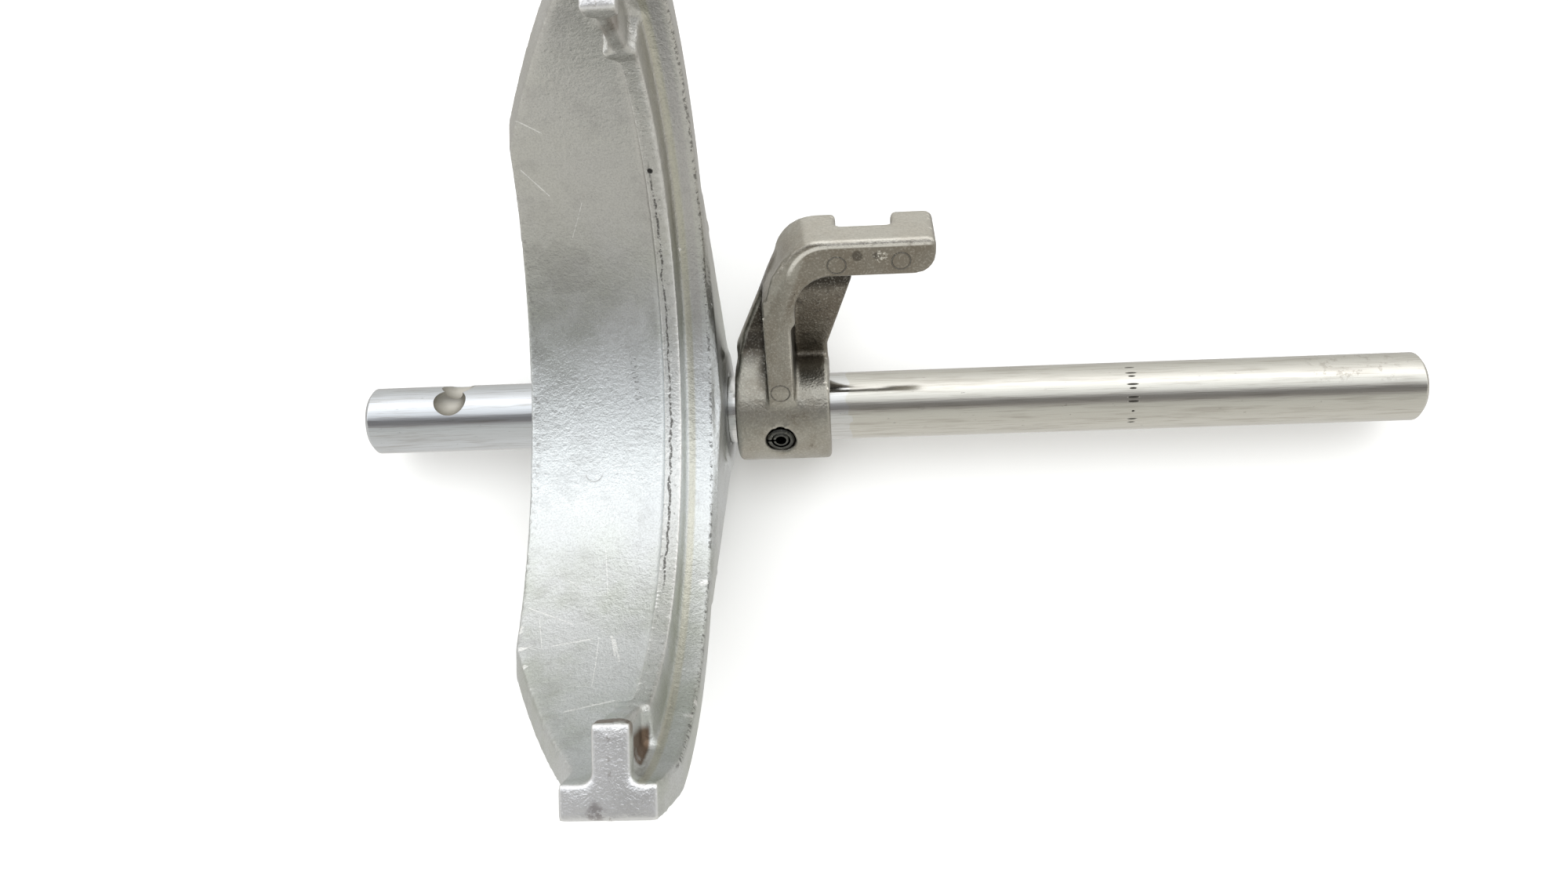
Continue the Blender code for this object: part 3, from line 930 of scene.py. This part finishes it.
@dataclass
class CastingSkin:
    """Skins a CAD solid again, with the radii that a mould leaves in its corners and on its edges.

    The solid is grown by the fillet radius, shrunk past its own size by the edge radius, and grown
    back. That fills each inner corner with a fillet and rounds each outer edge.
    """

    voxel: float
    fillet: float
    edge: float
    adaptivity: float = 0.02

    def tree(self) -> bpy.types.NodeTree:
        """Make the Geometry Nodes tree, with its sizes as named inputs.

        Returns:
            The tree.
        """
        tree = bpy.data.node_groups.new("casting_skin", "GeometryNodeTree")
        face = tree.interface
        face.new_socket("Geometry", in_out="INPUT", socket_type="NodeSocketGeometry")
        for name in ("Voxel", "Fillet Radius", "Edge Radius", "Adaptivity"):
            face.new_socket(name, in_out="INPUT", socket_type="NodeSocketFloat")
        face.new_socket("Crisp", in_out="INPUT", socket_type="NodeSocketObject")
        face.new_socket("Material", in_out="INPUT", socket_type="NodeSocketMaterial")
        face.new_socket("Geometry", in_out="OUTPUT", socket_type="NodeSocketGeometry")
        start = tree.nodes.new("NodeGroupInput").outputs
        fillet, edge, voxel = start["Fillet Radius"], start["Edge Radius"], start["Voxel"]
        reach = add_node(tree, "ShaderNodeMath", {"operation": "ADD"}, i0=fillet, i1=edge)
        inward = add_node(
            tree, "ShaderNodeMath", {"operation": "MULTIPLY"}, i0=reach.outputs[0], i1=-1.0
        )
        skin = start["Geometry"]
        band = int((self.fillet + self.edge) / self.voxel) + SPARE_BAND
        for level in (fillet, inward.outputs[0], edge):
            grid = self.grid(tree, skin, voxel, band)
            skin = add_node(tree, "GeometryNodeGridToMesh", Grid=grid, Threshold=level).outputs[0]
        crisp = add_node(tree, "GeometryNodeObjectInfo", Object=start["Crisp"]).outputs["Geometry"]
        union = add_node(
            tree, "GeometryNodeSDFGridBoolean", {"operation": "UNION"},
            i1=self.grid(tree, skin, voxel, SPARE_BAND),
        )
        # both grids go into the union's one input for many
        tree.links.new(self.grid(tree, crisp, voxel, SPARE_BAND), union.inputs[1])
        skin = add_node(
            tree, "GeometryNodeGridToMesh", Grid=union.outputs[0], Threshold=0.0,
            Adaptivity=start["Adaptivity"],
        ).outputs[0]
        skin = add_node(tree, "GeometryNodeRealizeInstances", Geometry=skin).outputs[0]
        skin = add_node(
            tree, "GeometryNodeSetMaterial", Geometry=skin, Material=start["Material"]
        ).outputs[0]
        tree.links.new(skin, tree.nodes.new("NodeGroupOutput").inputs[0])
        return tree

    def grid(self, tree: bpy.types.NodeTree, mesh: Any, voxel: Any, band: int) -> Any:
        """Return the distance grid of a mesh socket."""
        kind = "GeometryNodeMeshToSDFGrid"
        return add_node(tree, kind, Mesh=mesh, Voxel_Size=voxel, Band_Width=band).outputs[0]

    def skin(
        self, node: bpy.types.Object, name: str, finish: bpy.types.Material,
        added: list[bmesh.types.BMesh], crisp: bmesh.types.BMesh,
    ) -> bpy.types.Object:
        """Skin one CAD node.

        Args:
            node: The CAD node, which is left as it is.
            name: Name of the new piece.
            finish: Its material.
            added: Closed bodies that are cast with it.
            crisp: Closed bodies that keep their sharp edges.

        Returns:
            The new piece.
        """
        mesh = node.data.copy()
        builder = bmesh.new()
        builder.from_mesh(mesh)
        bmesh.ops.remove_doubles(builder, verts=builder.verts, dist=1e-6)
        for body in added:
            bmesh.ops.recalc_face_normals(body, faces=body.faces)
            extra = bpy.data.meshes.new("added")
            body.to_mesh(extra)
            body.free()
            builder.from_mesh(extra)
        tool = from_builder(name + "_crisp", crisp)
        builder.to_mesh(mesh)
        builder.free()
        source = add_object(name + "_source", mesh)
        change = source.modifiers.new("casting_skin", "NODES")
        change.node_group = self.tree()
        sizes = {
            "Voxel": self.voxel, "Fillet Radius": self.fillet, "Edge Radius": self.edge,
            "Adaptivity": self.adaptivity, "Crisp": tool, "Material": finish,
        }
        for item in change.node_group.interface.items_tree:
            if item.in_out == "INPUT" and item.name in sizes:
                change[item.identifier] = sizes[item.name]
        piece = settle(source, name)
        bpy.data.objects.remove(tool, do_unlink=True)
        return piece


# ---------------------------------------------------------------- sub-assemblies


@dataclass
class Rail:
    """The ground rail, turned with fine faces and cut like the CAD's own."""

    radius: float = 10.0 * MM
    length: float = 311.5 * MM
    chamfer: float = 1.3 * MM
    edge: float = 0.25 * MM
    detent_ball: float = 5.0 * MM
    detent_centre: float = 11.0 * MM
    detents: tuple[tuple[float, float], ...] = ((26.0 * MM, 63.0), (27.0 * MM, 20.0))
    hole: float = 4.3 * MM
    fork_pin: float = 85.0 * MM
    bracket_pin: float = 125.2 * MM
    bracket_pin_lean: float = 47.0
    film_start: float = 145.6 * MM
    mark_start: float = 226.0 * MM
    mark_middle: float = 1.6 * MM
    mark_half_width: float = 0.30 * MM
    mark_depth: float = 0.24 * MM
    # angle from +Y in degrees, and length in millimetres
    mark_turns: tuple[tuple[float, float], ...] = (
        (40.0, 3.4), (54.0, 3.6), (61.0, 2.2), (76.0, 3.6), (83.0, 2.2), (98.0, 3.6),
        (105.0, 3.6), (122.0, 0.9), (138.0, 3.2), (146.0, 2.4),
    )
    segments: int = 144
    bands: int = 90
    finish: GroundSteel = field(default_factory=GroundSteel)

    def profile(self) -> list[tuple[float, float]]:
        """Draw half of the rail's lengthwise section, whose chamfers have soft edges.

        Returns:
            Its (x, radius) points, from the detent end to the plain end.
        """
        radius, chamfer, edge = self.radius, self.chamfer, self.edge
        flat = radius - chamfer
        start = [
            (0.0, 0.0), (0.0, flat * 0.5), (0.0, flat - edge), (edge * 0.3, flat - edge * 0.3),
            (edge, flat + edge * 0.55), (chamfer - edge * 0.7, radius - edge * 0.7),
            (chamfer, radius - edge * 0.2), (chamfer + edge, radius),
        ]
        steps = self.bands
        inner = self.length - 2 * (chamfer + edge)
        body = [(chamfer + edge + inner * i / steps, radius) for i in range(1, steps)]
        return start + body + [(self.length - x, r) for x, r in reversed(start)]

    def build(self) -> None:
        """Turn the rail, cut its detents and cross holes, and dress it."""
        builder = bmesh.new()
        chain = [builder.verts.new((x, 0.0, r)) for x, r in self.profile()]
        edges = [builder.edges.new(pair) for pair in zip(chain, chain[1:])]
        bmesh.ops.spin(
            builder, geom=chain + edges, cent=(0, 0, 0), axis=(1, 0, 0), angle=math.tau,
            steps=self.segments, use_merge=True,
        )
        rail = from_builder("rail_source", builder)
        cutters = [self.ball(x, degrees) for x, degrees in self.detents]
        lean = math.radians(self.bracket_pin_lean)
        cutters += [self.mark(angle, reach) for angle, reach in self.mark_turns]
        cutters.append(self.drill(self.fork_pin, Vector((0, 1, 0))))
        cutters.append(self.drill(self.bracket_pin, Vector((0, -math.sin(lean), math.cos(lean)))))
        for cutter in cutters:
            cut = rail.modifiers.new(cutter.name, "BOOLEAN")
            cut.operation, cut.solver, cut.object = "DIFFERENCE", "EXACT", cutter
        rail = settle(rail, "ground_rail", 30.0)
        for cutter in cutters:
            bpy.data.objects.remove(cutter, do_unlink=True)
        dress(rail, self.finish.material(self), Slot.GROUND_STEEL, "shift_rail")

    def ball(self, x: float, degrees: float) -> bpy.types.Object:
        """Make the cutter of one detent.

        Args:
            x: Its place along the rail.
            degrees: Its angle from +Y.

        Returns:
            The cutter.
        """
        builder = bmesh.new()
        bmesh.ops.create_uvsphere(builder, u_segments=64, v_segments=48, radius=self.detent_ball)
        angle = math.radians(degrees)
        centre = (x, self.detent_centre * math.cos(angle), self.detent_centre * math.sin(angle))
        builder.transform(Matrix.Translation(centre))
        return from_builder("detent_cutter", builder)

    def mark(self, degrees: float, reach: float) -> bpy.types.Object:
        """Make the cutter of one plain stamped stroke, which lies along the rail.

        Args:
            degrees: Its angle from +Y.
            reach: Its length in millimetres.

        Returns:
            The cutter.
        """
        builder = bmesh.new()
        bmesh.ops.create_uvsphere(builder, u_segments=16, v_segments=10, radius=1.0)
        angle = math.radians(degrees)
        size = Matrix.Diagonal((reach * MM / 2, self.mark_half_width, self.mark_depth, 1.0))
        turn = Matrix.Rotation(angle - math.pi / 2, 4, "X")
        x = self.mark_start + self.mark_middle
        centre = (x, self.radius * math.cos(angle), self.radius * math.sin(angle))
        builder.transform(Matrix.Translation(centre) @ turn @ size)
        return from_builder("mark_cutter", builder)

    def drill(self, x: float, line: Vector) -> bpy.types.Object:
        """Make the cutter of one cross hole.

        Args:
            x: Its place along the rail.
            line: Its direction.

        Returns:
            The cutter.
        """
        builder = bmesh.new()
        bmesh.ops.create_cone(
            builder, cap_ends=True, segments=64, radius1=self.hole, radius2=self.hole,
            depth=4 * self.radius,
        )
        turn = Vector((0, 0, 1)).rotation_difference(line).to_matrix().to_4x4()
        builder.transform(Matrix.Translation((x, 0, 0)) @ turn)
        return from_builder("drill_cutter", builder)


@dataclass
class Fork:
    """The cast selector fork, skinned again from its CAD node."""

    sleeve_radius: float = 75.0 * MM
    sleeve_height: float = 110.0 * MM
    flange_inner: float = 84.5 * MM
    flange_height: float = 114.0 * MM
    right: float = 107.5 * MM
    ridge: tuple[tuple[float, float], ...] = (
        (95.0 * MM, 75.0 * MM), (99.2 * MM, 75.0 * MM), (99.6 * MM, 75.35 * MM),
        (100.8 * MM, 86.0 * MM), (93.8 * MM, 86.0 * MM),
    )
    ridge_end: float = 76.0
    pad_left: float = 91.6 * MM
    pad_right: float = 99.6 * MM
    pad_reach: float = 72.6 * MM
    top: float = 117.0 * MM
    collar_left: float = 105.0 * MM
    collar_turn: tuple[float, float] = (128.0, 232.0)
    lump_radius: float = 2.4 * MM
    # Y and Z in millimetres
    lumps: tuple[tuple[float, float], ...] = ((14.5, 15.5), (-16.8, 16.6))
    seam_rise: float = 0.22 * MM
    skin: CastingSkin = field(
        default_factory=lambda: CastingSkin(voxel=0.45 * MM, fillet=1.3 * MM, edge=0.75 * MM)
    )
    finish: CastAluminium = field(default_factory=CastAluminium)

    def bodies(self) -> list[bmesh.types.BMesh]:
        """Make what the CAD leaves to the casting.

        Returns:
            The lower neck's root, the hub's collar, two lumps beside it and the tips' mould seams.
        """
        inner, outer = self.pad_reach + 0.4 * MM, 88.0 * MM
        made = [block(
            Vector((self.pad_left + 0.3 * MM, -outer, 92.0 * MM)),
            Vector((self.pad_right - 3.0 * MM, -inner, self.top - 3.0 * MM)),
        )]
        collar = [
            (self.collar_left, 15.0 * MM), (self.right + 1.6 * MM, 15.0 * MM),
            (self.right + 1.0 * MM, 21.5 * MM), (self.collar_left, 22.5 * MM),
        ]
        made.append(ring_sweep(collar, 0.0, *self.collar_turn, 8.0))
        for y, z in self.lumps:
            builder = bmesh.new()
            bmesh.ops.create_icosphere(builder, subdivisions=3, radius=self.lump_radius)
            builder.transform(Matrix.Translation((self.right + 0.2 * MM, y * MM, z * MM)))
            made.append(builder)
        for side in Side:
            seam = block(
                Vector((94.9 * MM, 74.0 * MM, self.top - 3 * MM)),
                Vector((95.9 * MM, 90.8 * MM, self.top + self.seam_rise)),
            )
            seam.transform(Matrix.Diagonal((1, side.value, 1, 1)))
            made.append(seam)
        return made

    def build(self, node: bpy.types.Object) -> None:
        """Skin the fork and dress it.

        Args:
            node: Its CAD node.
        """
        finish = self.finish.material(self)
        end = self.ridge_end
        ridge = ring_sweep(list(self.ridge), self.sleeve_height, -end, end, 1.0)
        piece = self.skin.skin(node, "fork_casting", finish, self.bodies(), ridge)
        dress(piece, finish, Slot.CAST_ALUMINIUM, "shift_fork")


@dataclass
class Bracket:
    """The cast shift bracket, skinned again from its CAD node."""

    lean: float = math.radians(42.0)
    stem_left: float = 122.4 * MM
    stem_right: float = 130.0 * MM
    stem_front: float = 12.5 * MM
    stem_back: float = 4.0 * MM
    stem_span: tuple[float, float] = (9.6 * MM, 39.5 * MM)
    # the rest is in millimetres: along the rail, out along the arm, in front of its plane
    shoulder_points: tuple[tuple[float, float, float], ...] = (
        (122.5, 36.0, 12.5), (130.0, 36.0, 12.5), (130.0, 45.5, 12.6), (129.4, 52.0, 12.3),
        (131.2, 56.6, 12.0), (134.6, 59.6, 11.8), (123.4, 44.5, 11.6), (125.2, 50.5, 10.6),
        (129.0, 56.2, 10.0), (134.0, 60.2, 10.0), (124.5, 38.0, 4.0), (129.5, 38.0, 4.0),
        (134.0, 58.0, 4.0), (126.4, 50.0, 4.0),
    )
    # out, front and left end of each slope's upper and lower edge
    foot_slopes: tuple[tuple[tuple[float, float, float], ...], ...] = (
        ((25.0, -4.9, 115.4), (19.4, -1.4, 113.6)), ((19.6, -1.2, 113.6), (13.6, 7.3, 113.2)),
    )
    foot_right: float = 123.0
    # the marks' centres, and their radius
    marks: tuple[tuple[float, float, float, float], ...] = (
        (143.2, 54.7, 11.8, 2.45), (160.2, 55.3, 11.8, 2.45), (125.9, 14.2, 12.5, 2.7),
    )
    mark_half_width: float = 0.14
    mark_height: float = 0.12
    skin: CastingSkin = field(
        default_factory=lambda: CastingSkin(voxel=0.28 * MM, fillet=1.3 * MM, edge=1.25 * MM)
    )
    finish: CastSteel = field(default_factory=CastSteel)

    @property
    def out(self) -> Vector:
        """Direction out along the arm."""
        return Vector((0, math.cos(self.lean), math.sin(self.lean)))

    @property
    def front(self) -> Vector:
        """Direction that the arm's front faces."""
        return Vector((0, -math.sin(self.lean), math.cos(self.lean)))

    def point(self, x: float, out: float, front: float) -> Vector:
        """Return the place x along the rail, out along the arm and front of its plane."""
        return Vector((x, 0, 0)) + self.out * out + self.front * front

    def shoulder(self) -> bmesh.types.BMesh:
        """Return the slope that carries the stem's face round the corner into the bar."""
        return hull([self.point(*(part * MM for part in place)) for place in self.shoulder_points])

    def web_foot(self) -> list[bmesh.types.BMesh]:
        """Make the two slopes that carry the web's left part down on to the hub.

        Returns:
            The closed bodies.
        """
        made = []
        for slope in self.foot_slopes:
            places = []
            for out, front, left in slope:
                for x in (left, self.foot_right):
                    places += [(x, out, front), (x, out - 3.0, front - 4.0)]
            made.append(hull([self.point(*(part * MM for part in place)) for place in places]))
        return made

    def stem(self) -> bmesh.types.BMesh:
        """Make the stem's front, whose edges stay sharper than the rest of the casting's.

        Returns:
            The closed body.
        """
        (low, high), front, back = self.stem_span, self.stem_front, self.stem_back
        corners = ((low, front), (high, front), (low, back), (high, back))
        sides = (self.stem_left + 0.1 * MM, self.stem_right - 0.3 * MM)
        return hull([self.point(x, out, height) for x in sides for out, height in corners])

    def build(self, node: bpy.types.Object) -> None:
        """Skin the bracket, dress it and add its ejector marks.

        Args:
            node: Its CAD node.
        """
        finish = self.finish.material(self)
        added = [self.shoulder(), *self.web_foot()]
        piece = self.skin.skin(node, "bracket_casting", finish, added, self.stem())
        dress(piece, finish, Slot.CAST_STEEL, "shift_bracket")
        dress(self.ejector_marks(), finish, Slot.CAST_STEEL)

    def ejector_marks(self) -> bpy.types.Object:
        """Make the fine raised rings that the mould's ejector pins left.

        Returns:
            The rings, as one piece.
        """
        builder = bmesh.new()
        turn = Vector((0, 0, 1)).rotation_difference(self.front).to_matrix().to_4x4()
        for *centre, radius in self.marks:
            place = Matrix.Translation(self.point(*(part * MM for part in centre))) @ turn
            rings = [self.bead(builder, place, radius, math.tau * i / 64) for i in range(64)]
            for one, two in zip(rings, rings[1:] + rings[:1]):
                for corner in range(8):
                    after = (corner + 1) % 8
                    builder.faces.new((one[corner], one[after], two[after], two[corner]))
        return from_builder("bracket_ejector_marks", builder)

    def bead(self, builder: bmesh.types.BMesh, place: Matrix, radius: float, angle: float) -> list:
        """Add one section of a raised ring.

        Args:
            builder: The bmesh that it goes into.
            place: The ring's centre and plane.
            radius: The ring's radius in millimetres.
            angle: Angle of the section round the ring.

        Returns:
            Its eight vertices.
        """
        section = []
        for corner in range(8):
            around = math.tau * corner / 8
            reach = (radius + self.mark_half_width * math.cos(around)) * MM
            height = self.mark_height * MM * math.sin(around)
            spot = Vector((reach * math.cos(angle), reach * math.sin(angle), height))
            section.append(builder.verts.new(place @ spot))
        return section


@dataclass
class Pins:
    """The two pairs of nested spring pins, which keep their CAD shape."""

    names: tuple[str, ...] = (
        "fork_pin_outer", "fork_pin_inner", "bracket_pin_outer", "bracket_pin_inner"
    )
    finish: BlackOxide = field(default_factory=BlackOxide)

    def build(self, nodes: dict[str, bpy.types.Object]) -> None:
        """Give the four pins their finish, which stands in for the CAD's.

        Args:
            nodes: The frame's objects by name.
        """
        finish = self.finish.material()
        for name in self.names:
            pin = nodes[name]
            pin.data.materials.clear()
            pin.data.materials.append(finish)


@dataclass
class Studio:
    """The camera, the soft lights, the pale floor and the world round the part."""

    eye: tuple[float, float, float] = (0.1439, -0.0329, 0.3436)
    turn: tuple[float, float, float] = (0.0644, 0.0553, -0.0290)
    lens: float = 26.226
    floor_colour: str = "f7f7f6"
    floor_half: float = 3.0
    backdrop: str = "f7f7f5"
    overhead_watts: float = 14.0
    overhead_size: float = 1.6
    overhead_place: tuple[float, float, float] = (0.15, 0.1, 1.3)
    room_peak: float = 2.0
    # angle round the rail in degrees, brightness and tint
    room: tuple[tuple[float, float, tuple[float, float, float]], ...] = (
        (-180.0, 0.70, (1.0, 0.98, 0.94)),
        (-123.0, 0.84, (1.0, 0.99, 0.95)),
        (-100.0, 0.84, (1.0, 0.99, 0.95)),
        (-80.0, 0.76, (1.0, 0.99, 0.94)),
        (-63.0, 0.74, (1.0, 0.99, 0.94)),
        (-48.0, 0.72, (1.0, 1.0, 0.95)),
        (-33.0, 0.62, (1.0, 1.0, 0.95)),
        (-25.0, 0.40, (1.0, 0.97, 0.94)),
        (-19.0, 0.26, (1.0, 0.96, 0.94)),
        (-8.0, 0.26, (1.0, 0.98, 0.98)),
        (-2.0, 0.36, (1.0, 0.99, 1.0)),
        (6.0, 0.80, (0.98, 0.99, 1.0)),
        (14.0, 1.15, (0.97, 0.99, 1.0)),
        (34.0, 1.55, (0.98, 1.0, 1.01)),
        (46.0, 1.98, (1.0, 1.0, 1.0)),
        (58.0, 1.62, (1.0, 1.0, 1.0)),
        (74.0, 1.20, (1.0, 1.0, 0.98)),
        (92.0, 0.98, (1.0, 1.0, 0.98)),
        (112.0, 0.80, (1.0, 1.0, 0.96)),
        (150.0, 0.62, (1.0, 0.98, 0.94)),
    )

    def build(self, floor_height: float) -> None:
        """Set up the studio.

        Args:
            floor_height: Height of the floor.
        """
        self.camera()
        self.floor(floor_height)
        self.lights()
        self.world()
        bpy.context.scene.view_settings.view_transform = "Standard"

    def camera(self) -> None:
        """Make the camera."""
        data = bpy.data.cameras.new("camera")
        data.sensor_width, data.lens = 36.0, self.lens
        data.clip_start, data.clip_end = 0.01, 20.0
        camera = bpy.data.objects.new("camera", data)
        camera.location, camera.rotation_euler = self.eye, self.turn
        bpy.context.scene.collection.objects.link(camera)
        bpy.context.scene.camera = camera

    def floor(self, height: float) -> None:
        """Make the floor, which metal doesn't mirror.

        Args:
            height: Its height.
        """
        builder = bmesh.new()
        bmesh.ops.create_grid(builder, x_segments=1, y_segments=1, size=self.floor_half)
        builder.transform(Matrix.Translation((0.15, 0, height)))
        floor = from_builder("floor", builder)
        p = Painter("floor_paper", 0.0)
        p.colour = linear(self.floor_colour)
        floor.data.materials.append(p.finish(0.9))
        floor.visible_glossy = False
        floor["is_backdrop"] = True

    def lights(self) -> None:
        """Make the soft overhead light, which whitens the floor and isn't mirrored in metal."""
        data = bpy.data.lights.new("overhead", "AREA")
        data.shape, data.size, data.size_y = "RECTANGLE", self.overhead_size, self.overhead_size
        data.energy = self.overhead_watts
        light = bpy.data.objects.new("overhead", data)
        light.location = self.overhead_place
        light.visible_glossy = False
        bpy.context.scene.collection.objects.link(light)

    def world(self) -> None:
        """Make the room: a soft bright strip on one side, a warm wall on the other, a dark gap."""
        world = bpy.data.worlds.new("room")
        world.use_nodes = True
        bpy.context.scene.world = world
        tree = world.node_tree
        tree.nodes.clear()
        way = add_node(tree, "ShaderNodeTexCoord").outputs["Generated"]
        axes = add_node(tree, "ShaderNodeSeparateXYZ", Vector=way).outputs
        lean = add_node(
            tree, "ShaderNodeMath", {"operation": "ARCTAN2"}, i0=axes["Y"], i1=axes["Z"]
        )
        place = add_node(
            tree, "ShaderNodeMapRange", Value=lean.outputs[0], From_Min=-math.pi, From_Max=math.pi
        )
        ramp = add_node(tree, "ShaderNodeValToRGB", Fac=place.outputs[0])
        stops = ramp.color_ramp.elements
        while len(stops) < len(self.room):
            stops.new(0.5)
        for stop, (degrees, bright, tint) in zip(stops, self.room):
            stop.position = (degrees + 180.0) / 360.0
            stop.color = (*(bright * c / self.room_peak for c in tint), 1.0)
        kind = "ShaderNodeBackground"
        lit = add_node(tree, kind, Color=ramp.outputs[0], Strength=self.room_peak).outputs[0]
        plain = add_node(tree, kind, Color=linear(self.backdrop), Strength=1.0).outputs[0]
        seen = add_node(tree, "ShaderNodeLightPath").outputs["Is Camera Ray"]
        mixed = add_node(tree, "ShaderNodeMixShader", i0=seen, i1=lit, i2=plain).outputs[0]
        add_node(tree, "ShaderNodeOutputWorld", Surface=mixed)


def main() -> None:
    """Load the frame and build every sub-assembly round it."""
    logging.basicConfig(level=logging.INFO, format="%(name)s %(message)s")
    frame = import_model()
    nodes = frame["nodes"]
    cad_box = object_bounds()
    Studio().build(cad_box[0].z - GROUND_GAP)
    Rail().build()
    Fork().build(nodes["shift_fork"])
    Bracket().build(nodes["shift_bracket"])
    Pins().build(nodes)
    bpy.context.view_layer.update()


if __name__ == "__main__":
    main()
